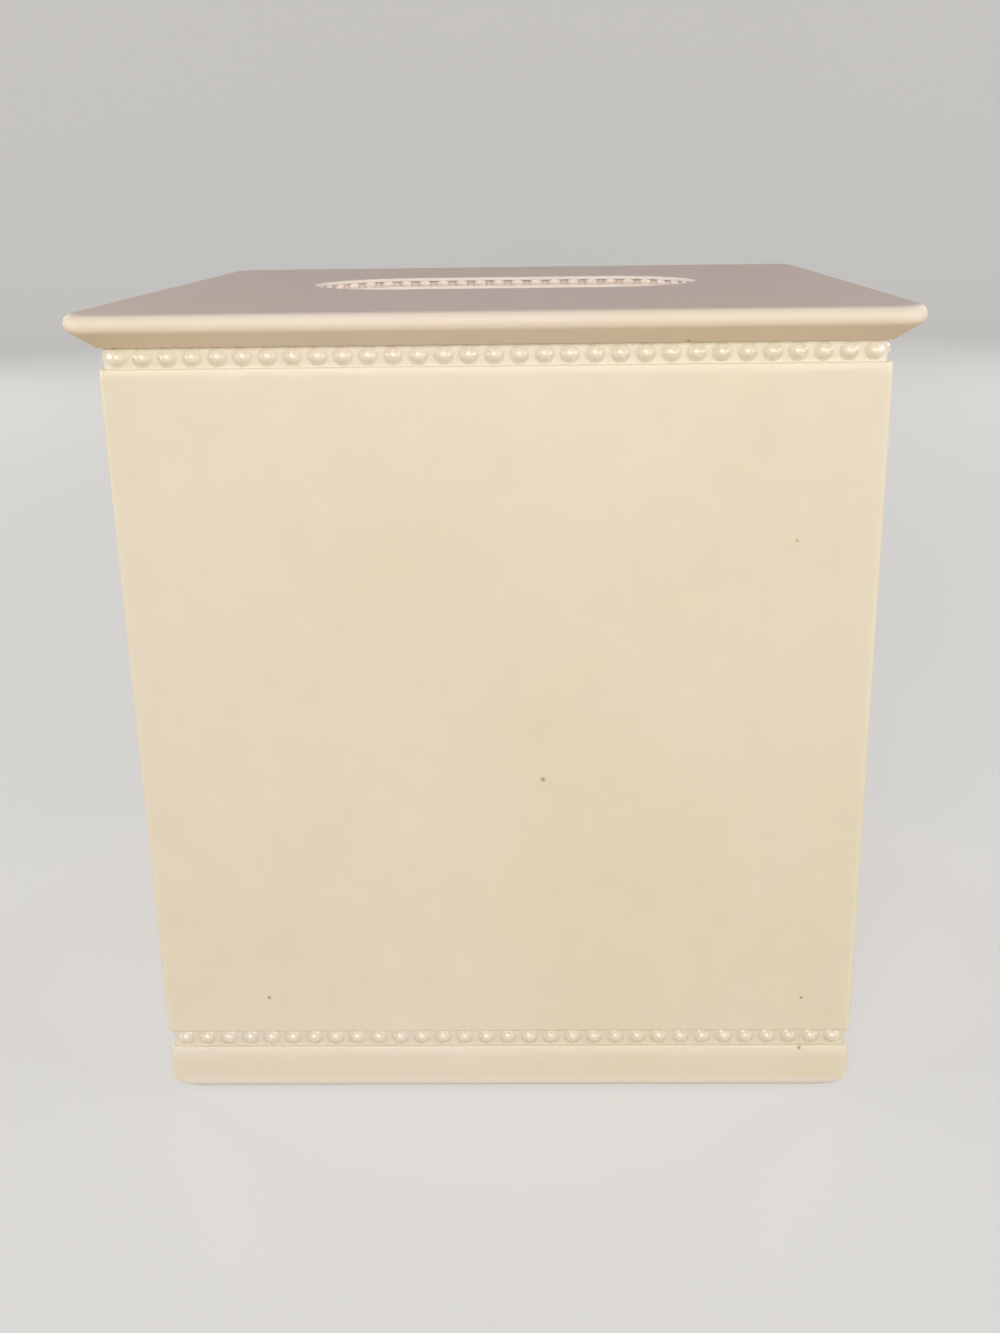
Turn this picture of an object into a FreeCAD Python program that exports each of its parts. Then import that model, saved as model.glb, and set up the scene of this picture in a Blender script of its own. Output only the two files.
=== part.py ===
"""Beaded tissue box cover: a square sleeve on a plinth, under a cornice lid that lifts off.

Millimetres, +Z up. The origin is on the surface that the cover stands on, under its centre, and the
front faces -Y. The carton goes in through the open plinth and the tissues come out of the lid's slot.
"""
import FreeCAD, Part
import math
import os

import Sketcher
from FreeCAD import Placement, Rotation, Vector

SIZES = {
    # Sleeve: four walls in one moulding, with a neck above its face and a tongue below it
    "sleeve_width": 138.0,
    "sleeve_face_height": 132.55,
    "neck_wall": 2.1,
    "sleeve_corner_radius": 1.5,
    "sleeve_inner_radius": 2.0,
    "sleeve_top_round": 0.9,
    "sleeve_foot_round": 0.8,
    "tongue_depth": 5.0,
    # Bead strips, let into the grooves above and below the sleeve's face
    "strip_recess": 1.2,
    "strip_thickness": 1.2,
    "strip_height": 3.65,
    "strip_top_gap": 0.1,
    "bead_radius": 1.65,
    "bead_rise": 0.95,
    "bead_root": 0.15,
    "bead_pitch": 4.37,
    "bead_end_room": 1.9,
    "bead_flank_share": 2.2,
    "bead_shoulder_share": 0.62,
    # Plinth: base ring, open in the middle
    "plinth_height": 9.75,
    "plinth_wall": 9.0,
    "plinth_corner_radius": 2.35,
    "plinth_shoulder_round": 1.2,
    "plinth_bottom_round": 2.2,
    # Lid: cornice edge, low raised panel on top and a locating rim underneath
    "lid_overhang": 5.05,
    "lid_height": 6.0,
    "lid_nose_radius": 1.8,
    "lid_plate": 5.0,
    "lid_border": 10.5,
    "lid_panel_rise": 0.25,
    "lid_panel_radius": 6.0,
    "rim_depth": 4.0,
    "rim_wall": 2.5,
    "rim_clearance": 0.3,
    # Tissue slot and the beaded ring that lines it
    "slot_length": 82.0,
    "slot_width": 40.0,
    "slot_lip": 0.7,
    "ring_wall": 2.2,
    "ring_clearance": 0.1,
    "ring_groove_height": 2.1,
    "ring_groove_depth": 0.8,
    "ring_bead_radius": 1.0,
    "ring_bead_rise": 0.9,
    "ring_bead_root": 0.4,
    "ring_bead_pitch": 4.2,
    # How far a cut runs past the face that it leaves
    "overrun": 1.0,
}

# Half widths, from the cover's axis
SLEEVE_HALF = "(Sizes.sleeve_width / 2)"
STRIP_FACE = f"({SLEEVE_HALF} - Sizes.strip_recess)"
NECK_HALF = f"({STRIP_FACE} - Sizes.strip_thickness)"
BORE_WIDTH = f"(2 * {NECK_HALF} - 2 * Sizes.neck_wall)"
LID_WIDTH = "(Sizes.sleeve_width + 2 * Sizes.lid_overhang)"
RIM_WIDTH = f"({BORE_WIDTH} - 2 * Sizes.rim_clearance)"

# Levels, from the surface that the cover stands on
PLINTH_TOP = "Sizes.plinth_height"
FACE_FOOT = f"({PLINTH_TOP} + Sizes.strip_height)"
FACE_TOP = f"({FACE_FOOT} + Sizes.sleeve_face_height)"
LID_SEAT = f"({FACE_TOP} + Sizes.strip_height + Sizes.strip_top_gap)"
# In the lid: how far its plate stays above its seat, and how much of the plate the ring takes
PLATE_FOOT = "(Sizes.lid_height + Sizes.lid_panel_rise - Sizes.lid_plate)"
RING_HEIGHT = "(Sizes.lid_plate - Sizes.slot_lip)"

# Beads: as many as fit along a strip, and whole steps on the straights and the ends of the ring
STRIP_STEPS = f"floor((2 * {STRIP_FACE} - 2 * Sizes.bead_end_room) / Sizes.bead_pitch)"
SLOT_STRAIGHT = "(Sizes.slot_length - Sizes.slot_width)"
STRAIGHT_STEPS = f"round({SLOT_STRAIGHT} / Sizes.ring_bead_pitch)"
END_STEPS = "round(pi * Sizes.slot_width / 2 / Sizes.ring_bead_pitch)"

# Each side of the cover by the quarter turns that bring the front strip round to it
SIDES = {"front": 0, "right": 1, "back": 2, "left": 3}
# Sides of a bead, seen from its tip
BEAD_FACETS = 6
# Two places closer than this share of the cover's half width are the same
LEVEL_SHARE = 1e-6

doc = FreeCAD.newDocument("tissue_box_cover")


def make_sheet():
    """Write every driving size into the sheet, with its name as alias."""
    sheet = doc.addObject("Spreadsheet::Sheet", "Sizes")
    for row, (alias, size) in enumerate(SIZES.items(), start=1):
        sheet.set(f"A{row}", alias)
        sheet.set(f"B{row}", str(size))
        sheet.setAlias(f"B{row}", alias)
    doc.recompute()
    return sheet


def value_of(expression):
    """Return an expression's value as a plain number."""
    return float(sizes.evalExpression(expression))


def new_body(name, level):
    """Start a piece whose own zero level stands at the given height of the cover."""
    body = doc.addObject("PartDesign::Body", name)
    body.Label = name
    body.setExpression("Placement.Base.z", level)
    return body


def new_sketch(body, name, role="XY_Plane", turn=None, **offsets):
    """Add a sketch on an origin plane of the body, moved along its own axes and turned about its y."""
    sketch = body.newObject("Sketcher::SketchObject", f"{body.Name}_{name}")
    plane = next(item for item in body.Origin.OriginFeatures if item.Role == role)
    sketch.AttachmentSupport = [(plane, "")]
    sketch.MapMode = "FlatFace"
    if turn:
        sketch.AttachmentOffset = Placement(Vector(), Rotation(Vector(0, 1, 0), value_of(turn)))
        sketch.setExpression("AttachmentOffset.Rotation.Angle", turn)
    for axis, expression in offsets.items():
        sketch.setExpression(f"AttachmentOffset.Base.{axis}", expression)
    return sketch


def fix(sketch, kind, *geometry):
    """Add a constraint that has no size."""
    sketch.addConstraint(Sketcher.Constraint(kind, *geometry))


def drive(sketch, name, expression, kind, *geometry):
    """Add a constraint whose size follows an expression."""
    constraint = Sketcher.Constraint(kind, *geometry, value_of(expression))
    index = sketch.addConstraint(constraint)
    sketch.renameConstraint(index, name)
    sketch.setExpression(f"Constraints.{name}", expression)


def draw_polygon(sketch, corners):
    """Draw a closed outline through corners that are given as pairs of expressions."""
    points = [Vector(value_of(x), value_of(y), 0) for x, y in corners]
    for start, end in zip(points, points[1:] + points[:1]):
        sketch.addGeometry(Part.LineSegment(start, end))
    for line, (x, y) in enumerate(corners):
        fix(sketch, "Coincident", line, 2, (line + 1) % len(corners), 1)
        drive(sketch, f"x{line}", x, "DistanceX", -1, 1, line, 1)
        drive(sketch, f"y{line}", y, "DistanceY", -1, 1, line, 1)


def draw_square(sketch, half):
    """Draw a square with sharp corners about the sketch's origin."""
    draw_polygon(sketch, [(f"-{half}", f"-{half}"), (half, f"-{half}"), (half, half), (f"-{half}", half)])


def draw_rounded_square(sketch, width, radius):
    """Draw a square with round corners about the sketch's origin."""
    half = value_of(width) / 2
    corner = value_of(radius)
    inner = half - corner
    quarter = math.pi / 2
    lines = []
    arcs = []
    for turn in range(4):
        spin = Rotation(Vector(0, 0, 1), math.degrees(quarter * turn))
        start = spin.multVec(Vector(-inner, -half, 0))
        end = spin.multVec(Vector(inner, -half, 0))
        circle = Part.Circle(spin.multVec(Vector(inner, -inner, 0)), Vector(0, 0, 1), corner)
        lines.append(sketch.addGeometry(Part.LineSegment(start, end)))
        arcs.append(sketch.addGeometry(Part.ArcOfCircle(circle, quarter * (turn - 1), quarter * turn)))
    for turn in range(4):
        fix(sketch, "Tangent", lines[turn], 2, arcs[turn], 1)
        fix(sketch, "Tangent", arcs[turn], 2, lines[(turn + 1) % 4], 1)
        fix(sketch, "Vertical" if turn % 2 else "Horizontal", lines[turn])
    for arc in arcs[1:]:
        fix(sketch, "Equal", arcs[0], arc)
    fix(sketch, "Symmetric", lines[0], 1, lines[2], 1, -1, 1)
    drive(sketch, "corner", radius, "Radius", arcs[0])
    drive(sketch, "width", width, "DistanceX", lines[3], 1, lines[1], 1)
    drive(sketch, "depth", width, "DistanceY", lines[0], 1, lines[2], 1)


def draw_obround(sketch, margin):
    """Draw the slot's outline about the sketch's origin, grown by a margin all round."""
    width = f"(Sizes.slot_width + 2 * {margin})"
    radius = value_of(width) / 2
    reach = value_of(SLOT_STRAIGHT) / 2
    quarter = math.pi / 2
    front = sketch.addGeometry(Part.LineSegment(Vector(-reach, -radius, 0), Vector(reach, -radius, 0)))
    right = Part.Circle(Vector(reach, 0, 0), Vector(0, 0, 1), radius)
    right = sketch.addGeometry(Part.ArcOfCircle(right, -quarter, quarter))
    back = sketch.addGeometry(Part.LineSegment(Vector(reach, radius, 0), Vector(-reach, radius, 0)))
    left = Part.Circle(Vector(-reach, 0, 0), Vector(0, 0, 1), radius)
    left = sketch.addGeometry(Part.ArcOfCircle(left, quarter, 3 * quarter))
    chain = [front, right, back, left]
    for this, after in zip(chain, chain[1:] + chain[:1]):
        fix(sketch, "Tangent", this, 2, after, 1)
    fix(sketch, "Horizontal", front)
    fix(sketch, "Equal", right, left)
    fix(sketch, "Symmetric", right, 3, left, 3, -1, 1)
    drive(sketch, "end", f"{width} / 2", "Radius", right)
    drive(sketch, "straight", SLOT_STRAIGHT, "DistanceX", left, 3, right, 3)


def draw_groove(sketch):
    """Draw the ring's groove: straight along the slot, with a flat behind each bead of the round ends."""
    flat = f"180 deg / {END_STEPS}"
    reach = f"(Sizes.slot_width / 2 + Sizes.ring_groove_depth) / cos({flat} / 2)"
    corners = []
    for end in (0, 1):
        centre = f"{1 - 2 * end} * {SLOT_STRAIGHT} / 2"
        for number in range(round(value_of(END_STEPS))):
            angle = f"(({number} + 1 / 2) * {flat} + {180 * end - 90} deg)"
            corners.append((f"{centre} + {reach} * cos({angle})", f"{reach} * sin({angle})"))
    draw_polygon(sketch, corners)


def draw_bead_outline(sketch, radius):
    """Draw a regular polygon about the sketch's origin, with a flat side down."""
    size = value_of(radius)
    step = 2 * math.pi / BEAD_FACETS
    angles = [step * (index - 0.5) - math.pi / 2 for index in range(BEAD_FACETS)]
    points = [Vector(size * math.cos(angle), size * math.sin(angle), 0) for angle in angles]
    circle = sketch.addGeometry(Part.Circle(Vector(0, 0, 0), Vector(0, 0, 1), size), True)
    lines = [sketch.addGeometry(Part.LineSegment(start, end))
             for start, end in zip(points, points[1:] + points[:1])]
    fix(sketch, "Coincident", circle, 3, -1, 1)
    for line, after in zip(lines, lines[1:] + lines[:1]):
        fix(sketch, "Coincident", line, 2, after, 1)
        fix(sketch, "PointOnObject", line, 1, circle)
    for line in lines[1:]:
        fix(sketch, "Equal", lines[0], line)
    fix(sketch, "Horizontal", lines[0])
    drive(sketch, "radius", radius, "Radius", circle)


def pad(body, name, sketch, length, downwards=False):
    """Raise a sketch into a solid, upwards unless told otherwise."""
    feature = body.newObject("PartDesign::Pad", f"{body.Name}_{name}")
    feature.Profile = sketch
    feature.Reversed = downwards
    feature.setExpression("Length", length)
    return feature


def pocket(body, name, sketch, depth, upwards=False):
    """Cut a sketch out of the solid, downwards unless told otherwise, and see that it cuts."""
    doc.recompute()
    before = body.Shape.Volume
    feature = body.newObject("PartDesign::Pocket", f"{body.Name}_{name}")
    feature.Profile = sketch
    feature.Reversed = upwards
    feature.setExpression("Length", depth)
    doc.recompute()
    if body.Shape.Volume >= before:
        raise ValueError(f"{feature.Name} cuts nothing")
    return feature


def round_edges(body, name, level, half, radius):
    """Round the outer edges that run all round the body at a level, at a half width from its axis."""
    doc.recompute()
    base = body.Tip
    height = value_of(level)
    reach = value_of(half)
    slack = reach * LEVEL_SHARE
    chosen = []
    for number, edge in enumerate(base.Shape.Edges, start=1):
        box = edge.BoundBox
        far = max(abs(box.XMin), abs(box.XMax), abs(box.YMin), abs(box.YMax))
        flat = abs(box.ZMin - height) < slack and abs(box.ZMax - height) < slack
        if flat and abs(far - reach) < slack:
            chosen.append(f"Edge{number}")
    feature = body.newObject("PartDesign::Fillet", f"{body.Name}_{name}")
    feature.Base = (base, chosen)
    feature.setExpression("Radius", radius)
    return feature


def pyramid(body, name, radius, foot_place, tip_place, turn):
    """Raise a bead's outline to a point."""
    foot = new_sketch(body, f"{name}_foot", "XZ_Plane", turn, **foot_place)
    draw_bead_outline(foot, radius)
    tip = new_sketch(body, f"{name}_tip", "XZ_Plane", turn, **tip_place)
    tip.addGeometry(Part.Point(Vector(0, 0, 0)))
    fix(tip, "Coincident", 0, 1, -1, 1)
    feature = body.newObject("PartDesign::AdditiveLoft", f"{body.Name}_{name}")
    feature.Profile = foot
    feature.Sections = [tip]
    return feature


def bead(body, name, radius, root, rise, spot, turn=None):
    """Add one faceted bead to a body, with steep flanks that are cut off under a flatter crown.

    spot gives a sketch's place on the body's upright plane for a height above the bead's ground.
    """
    flank_rise = f"{rise} * Sizes.bead_flank_share"
    shoulder = f"{rise} * Sizes.bead_shoulder_share"
    shoulder_radius = f"{radius} * ({flank_rise} - {shoulder}) / ({flank_rise} + {root})"
    flanks = pyramid(body, f"{name}_flanks", radius, spot(f"-{root}"), spot(flank_rise), turn)
    top = new_sketch(body, f"{name}_top", "XZ_Plane", turn, **spot(shoulder))
    draw_bead_outline(top, radius)
    trim = pocket(body, f"{name}_trim", top, f"{flank_rise} + Sizes.overrun", upwards=True)
    crown = pyramid(body, f"{name}_crown", shoulder_radius, spot(shoulder), spot(rise), turn)
    return [flanks, trim, crown]


def repeat_in_line(body, name, features, length, count, backwards=False):
    """Repeat a bead along the horizontal axis of its foot's sketch."""
    pattern = body.newObject("PartDesign::LinearPattern", f"{body.Name}_{name}")
    pattern.Originals = features
    pattern.Direction = (features[0].Profile[0], ["H_Axis"])
    pattern.Reversed = backwards
    pattern.setExpression("Length", length)
    pattern.setExpression("Occurrences", count)
    body.Tip = pattern


def repeat_round(body, name, features, centre, angle, count):
    """Repeat a bead clockwise about the origin of a sketch in plan."""
    pattern = body.newObject("PartDesign::PolarPattern", f"{body.Name}_{name}")
    pattern.Originals = features
    pattern.Axis = (centre, ["N_Axis"])
    pattern.Reversed = True
    pattern.setExpression("Angle", angle)
    pattern.setExpression("Occurrences", count)
    body.Tip = pattern


def make_sleeve():
    """Four walls in one moulding: the face between the grooves, and the neck and tongue inside it."""
    body = new_body("sleeve", FACE_FOOT)
    face = new_sketch(body, "face")
    draw_rounded_square(face, "Sizes.sleeve_width", "Sizes.sleeve_corner_radius")
    pad(body, "walls", face, "Sizes.sleeve_face_height")
    core = new_sketch(body, "core", z="-Sizes.strip_height - Sizes.tongue_depth")
    draw_square(core, NECK_HALF)
    above = "2 * Sizes.strip_height + Sizes.strip_top_gap"
    pad(body, "neck_and_tongue", core, f"Sizes.tongue_depth + {above} + Sizes.sleeve_face_height")
    round_edges(body, "top_round", "Sizes.sleeve_face_height", SLEEVE_HALF, "Sizes.sleeve_top_round")
    round_edges(body, "foot_round", "0", SLEEVE_HALF, "Sizes.sleeve_foot_round")
    bore = new_sketch(body, "bore", z=f"{LID_SEAT} - {FACE_FOOT} + Sizes.overrun")
    draw_rounded_square(bore, BORE_WIDTH, "Sizes.sleeve_inner_radius")
    pocket(body, "bore_cut", bore, f"{LID_SEAT} - {PLINTH_TOP} + Sizes.tongue_depth + 2 * Sizes.overrun")
    return body


def make_bead_strip(row, side, level):
    """A beaded strip, mitred at both ends, turned round to its side of the cover."""
    body = new_body(f"{row}_bead_strip_{side}", level)
    plan = new_sketch(body, "plan")
    draw_polygon(plan, [(f"-{STRIP_FACE}", f"-{STRIP_FACE}"), (STRIP_FACE, f"-{STRIP_FACE}"),
                        (NECK_HALF, f"-{NECK_HALF}"), (f"-{NECK_HALF}", f"-{NECK_HALF}")])
    pad(body, "backing", plan, "Sizes.strip_height")
    run = f"{STRIP_STEPS} * Sizes.bead_pitch"

    def spot(height):
        """Return the place of the first bead, at a height above the strip's face."""
        return {"x": f"-{run} / 2", "y": "Sizes.strip_height / 2", "z": f"{STRIP_FACE} + {height}"}

    first = bead(body, "bead", "Sizes.bead_radius", "Sizes.bead_root", "Sizes.bead_rise", spot)
    repeat_in_line(body, "bead_row", first, run, f"{STRIP_STEPS} + 1")
    body.Placement = Placement(body.Placement.Base, Rotation(Vector(0, 0, 1), 90 * SIDES[side]))
    return body


def make_plinth():
    """Base ring with a rounded shoulder and a socket for the sleeve's tongue."""
    body = new_body("plinth", "0")
    outline = new_sketch(body, "outline")
    draw_rounded_square(outline, "Sizes.sleeve_width", "Sizes.plinth_corner_radius")
    pad(body, "block", outline, "Sizes.plinth_height")
    round_edges(body, "bottom_round", "0", SLEEVE_HALF, "Sizes.plinth_bottom_round")
    round_edges(body, "shoulder_round", "Sizes.plinth_height", SLEEVE_HALF, "Sizes.plinth_shoulder_round")
    opening = new_sketch(body, "opening", z="Sizes.plinth_height + Sizes.overrun")
    draw_square(opening, f"({SLEEVE_HALF} - Sizes.plinth_wall)")
    pocket(body, "opening_cut", opening, "Sizes.plinth_height + 2 * Sizes.overrun")
    socket = new_sketch(body, "socket", z="Sizes.plinth_height + Sizes.overrun")
    draw_square(socket, NECK_HALF)
    pocket(body, "socket_cut", socket, "Sizes.tongue_depth + Sizes.overrun")
    return body


def draw_cornice(sketch):
    """Draw the lid's edge: a slope that rises outwards from the sleeve's face into a full-round nose."""
    half = value_of(SLEEVE_HALF)
    height = value_of("Sizes.lid_height")
    nose = value_of("Sizes.lid_nose_radius")
    centre = Vector(half + value_of("Sizes.lid_overhang") - nose, height - nose, 0)
    reach = math.hypot(centre.x - half, centre.y)
    slope = math.atan2(centre.y, centre.x - half) - math.asin(nose / reach)
    touch = centre + Vector(nose * math.sin(slope), -nose * math.cos(slope), 0)
    foot = Vector(half, 0, 0)
    brow = Vector(half, height, 0)
    top = Vector(centre.x, height, 0)
    inner_line = sketch.addGeometry(Part.LineSegment(brow, foot))
    slope_line = sketch.addGeometry(Part.LineSegment(foot, touch))
    circle = Part.Circle(centre, Vector(0, 0, 1), nose)
    nose_arc = sketch.addGeometry(Part.ArcOfCircle(circle, slope - math.pi / 2, math.pi / 2))
    top_line = sketch.addGeometry(Part.LineSegment(top, brow))
    fix(sketch, "Coincident", inner_line, 2, slope_line, 1)
    fix(sketch, "Tangent", slope_line, 2, nose_arc, 1)
    fix(sketch, "Tangent", nose_arc, 2, top_line, 1)
    fix(sketch, "Coincident", top_line, 2, inner_line, 1)
    fix(sketch, "Vertical", inner_line)
    fix(sketch, "Horizontal", top_line)
    fix(sketch, "PointOnObject", inner_line, 2, -1)
    drive(sketch, "foot", SLEEVE_HALF, "DistanceX", -1, 1, inner_line, 2)
    drive(sketch, "height", "Sizes.lid_height", "DistanceY", inner_line, 2, inner_line, 1)
    drive(sketch, "nose", "Sizes.lid_nose_radius", "Radius", nose_arc)
    drive(sketch, "nose_reach", f"{LID_WIDTH} / 2 - Sizes.lid_nose_radius", "DistanceX", -1, 1, nose_arc, 3)


def make_lid():
    """Cornice lid: the edge is run round a flat plate with a panel, a slot and a rim underneath."""
    body = new_body("lid", LID_SEAT)
    plate = new_sketch(body, "plate")
    draw_rounded_square(plate, "Sizes.sleeve_width", "Sizes.sleeve_corner_radius")
    pad(body, "plate_pad", plate, "Sizes.lid_height")
    path = new_sketch(body, "cornice_path")
    draw_rounded_square(path, "Sizes.sleeve_width", "Sizes.sleeve_corner_radius")
    edge = new_sketch(body, "cornice_edge", "XZ_Plane")
    draw_cornice(edge)
    cornice = body.newObject("PartDesign::AdditivePipe", "lid_cornice")
    cornice.Profile = edge
    cornice.Spine = path
    panel = new_sketch(body, "panel", z="Sizes.lid_height")
    draw_rounded_square(panel, f"({LID_WIDTH} - 2 * Sizes.lid_border)", "Sizes.lid_panel_radius")
    pad(body, "panel_pad", panel, "Sizes.lid_panel_rise")
    rim = new_sketch(body, "rim")
    draw_rounded_square(rim, RIM_WIDTH, "(Sizes.sleeve_inner_radius - Sizes.rim_clearance)")
    pad(body, "rim_pad", rim, "Sizes.rim_depth", downwards=True)
    doc.recompute()
    hollow = new_sketch(body, "hollow", z="-Sizes.rim_depth - Sizes.overrun")
    draw_square(hollow, f"({RIM_WIDTH} / 2 - Sizes.rim_wall)")
    pocket(body, "hollow_cut", hollow, f"Sizes.rim_depth + Sizes.overrun + {PLATE_FOOT}", upwards=True)
    seat = new_sketch(body, "ring_seat", z=f"{PLATE_FOOT} - Sizes.overrun")
    draw_obround(seat, "(Sizes.ring_wall + Sizes.ring_clearance)")
    pocket(body, "ring_seat_cut", seat, f"{RING_HEIGHT} + Sizes.overrun", upwards=True)
    slot = new_sketch(body, "slot", z=f"{PLATE_FOOT} - Sizes.overrun")
    draw_obround(slot, "0")
    pocket(body, "slot_cut", slot, "Sizes.lid_plate + 2 * Sizes.overrun", upwards=True)
    return body


def make_slot_bead_ring():
    """Obround liner under the slot's lip, with beads all round a groove above its own lower lip."""
    body = new_body("slot_bead_ring", f"{LID_SEAT} + {PLATE_FOOT}")
    outline = new_sketch(body, "outline")
    draw_obround(outline, "Sizes.ring_wall")
    pad(body, "liner", outline, RING_HEIGHT)
    doc.recompute()
    mouth = new_sketch(body, "mouth", z=f"{RING_HEIGHT} + Sizes.overrun")
    draw_obround(mouth, "0")
    pocket(body, "mouth_cut", mouth, f"{RING_HEIGHT} + 2 * Sizes.overrun")
    groove = new_sketch(body, "groove", z=f"{RING_HEIGHT} + Sizes.overrun")
    draw_groove(groove)
    pocket(body, "groove_cut", groove, "Sizes.ring_groove_height + Sizes.overrun")
    for half, centre in enumerate([f"{SLOT_STRAIGHT} / 2", f"-{SLOT_STRAIGHT} / 2"]):
        add_half_of_ring_beads(body, half, centre)
    return body


def add_half_of_ring_beads(body, half, centre):
    """Add the beads of one straight of the ring and of the round end that follows it clockwise."""
    middle = f"{RING_HEIGHT} - Sizes.ring_groove_height / 2"
    start = 180 * half
    step = f"180 / {END_STEPS}"

    def ring_bead(name, turn):
        """Add a bead at an angle about the round end's centre, from the end of the straight."""

        def spot(height):
            """Return the place of the bead, at a height above the bottom of the groove."""
            radius = f"(Sizes.slot_width / 2 + Sizes.ring_groove_depth - ({height}))"
            across = f"{centre} - {radius} * sin({turn})"
            return {"x": across, "y": middle, "z": f"-{radius} * cos({turn})"}

        return bead(body, f"{name}_{half}", "Sizes.ring_bead_radius", "Sizes.ring_bead_root",
                    "Sizes.ring_bead_rise", spot, turn)

    straight = ring_bead("straight_bead", f"{start} deg")
    count = f"{STRAIGHT_STEPS} + 1"
    repeat_in_line(body, f"straight_row_{half}", straight, SLOT_STRAIGHT, count, backwards=True)
    end = ring_bead("end_bead", f"({start} - {step}) * 1 deg")
    axis = new_sketch(body, f"end_centre_{half}", x=centre)
    repeat_round(body, f"end_row_{half}", end, axis, f"({END_STEPS} - 2) * {step}", f"{END_STEPS} - 1")


def write_parts(pieces):
    """Check every object and every piece, then write one file for each piece."""
    doc.recompute()
    failed = [item.Name for item in doc.Objects if {"Invalid", "Error"} & set(item.State)]
    if failed:
        raise RuntimeError(f"failed objects: {failed}")
    for piece in pieces:
        if piece.Shape.isNull() or not piece.Shape.isValid():
            raise RuntimeError(f"{piece.Label} has no valid shape")
    os.makedirs("parts", exist_ok=True)
    for piece in pieces:
        piece.Shape.exportStep(f"parts/{piece.Label}.step")
        print(piece.Label, len(piece.Shape.Solids), round(piece.Shape.Volume, 1))


sizes = make_sheet()
strips = [make_bead_strip(row, side, level)
          for row, level in (("upper", FACE_TOP), ("lower", PLINTH_TOP)) for side in SIDES]
write_parts([make_lid(), make_slot_bead_ring(), make_sleeve(), *strips, make_plinth()])
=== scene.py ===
import logging
import math
from dataclasses import dataclass
from enum import Enum
from typing import Any

import bmesh
import bpy
from mathutils import Matrix, Vector


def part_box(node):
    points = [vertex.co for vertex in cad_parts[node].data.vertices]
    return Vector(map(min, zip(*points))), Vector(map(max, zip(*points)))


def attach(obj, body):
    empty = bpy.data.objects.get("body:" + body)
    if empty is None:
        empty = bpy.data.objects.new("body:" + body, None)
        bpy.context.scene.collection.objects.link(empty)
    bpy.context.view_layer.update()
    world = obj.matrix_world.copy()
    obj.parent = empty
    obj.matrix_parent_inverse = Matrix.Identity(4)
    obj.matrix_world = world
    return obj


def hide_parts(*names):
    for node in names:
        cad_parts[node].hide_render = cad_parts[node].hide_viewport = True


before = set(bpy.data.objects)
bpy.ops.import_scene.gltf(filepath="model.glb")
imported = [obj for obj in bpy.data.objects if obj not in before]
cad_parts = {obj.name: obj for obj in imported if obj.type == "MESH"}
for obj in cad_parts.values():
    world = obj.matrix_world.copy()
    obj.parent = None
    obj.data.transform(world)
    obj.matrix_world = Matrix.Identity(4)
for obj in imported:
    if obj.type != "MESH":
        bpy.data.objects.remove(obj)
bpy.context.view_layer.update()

# The tissue box cover's looks: a beaded sleeve on a plinth under a cornice lid, all in satin ivory resin.
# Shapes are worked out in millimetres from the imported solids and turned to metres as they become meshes.
LOG = logging.getLogger("tissue_box_cover")

MM = 0.001
METRE = 1 / MM

# How finely the skins are drawn: lengths in millimetres, apart from the metres within which points merge.
CORNER_STEPS = 10
ROUND_STEPS = 6
SIDE_SHARES = (0.004, 0.02, 0.1, 0.25, 0.4, 0.5, 0.6, 0.75, 0.9, 0.98, 0.996)
SHARP_RADIUS = 0.05
SHARP_EDGE_DEGREES = 32
FLAT_SUPPORT = 0.4
MERGE_DISTANCE = 1e-7

UP = Vector((0, 0, 1))


class Side(Enum):
    """The cover's four sides, in quarter turns from the front, anticlockwise from above."""

    FRONT = 0
    RIGHT = 1
    BACK = 2
    LEFT = 3


class Row(Enum):
    """The two rows of beads round the cover."""

    UPPER = "upper"
    LOWER = "lower"


class BeadPath(Enum):
    """What a run of beads follows."""

    LINE = "line"
    OBROUND = "obround"


def strip_node(row: Row, side: Side) -> str:
    """Name the solid of a strip of beads."""
    return f"{row.value}_bead_strip_{side.name.lower()}"


def linear(hex_colour: str) -> tuple[float, float, float, float]:
    """Turn an sRGB hex colour into linear RGBA.

    Args:
        hex_colour: the colour, as #RRGGBB.

    Returns:
        The linear red, green, blue and alpha.
    """
    shares = [int(hex_colour[at:at + 2], 16) / 255 for at in (1, 3, 5)]
    lit = [s / 12.92 if s <= 0.04045 else ((s + 0.055) / 1.055) ** 2.4 for s in shares]
    return (*lit, 1.0)


def add_node(
    tree: bpy.types.NodeTree,
    kind: str,
    settings: dict[str, Any] | None = None,
    inputs: dict[str | int, Any] | None = None,
) -> bpy.types.Node:
    """Add a node to a shader or geometry tree.

    Args:
        tree: the tree that gets the node.
        kind: the node's type.
        settings: the node's own properties.
        inputs: values and links for its sockets, by name or place.

    Returns:
        The new node.
    """
    node = tree.nodes.new(kind)
    for name, value in (settings or {}).items():
        setattr(node, name, value)
    for name, value in (inputs or {}).items():
        for item in value if isinstance(value, list) else [value]:
            if isinstance(item, bpy.types.NodeSocket):
                tree.links.new(item, node.inputs[name])
            else:
                node.inputs[name].default_value = item
    return node


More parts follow.
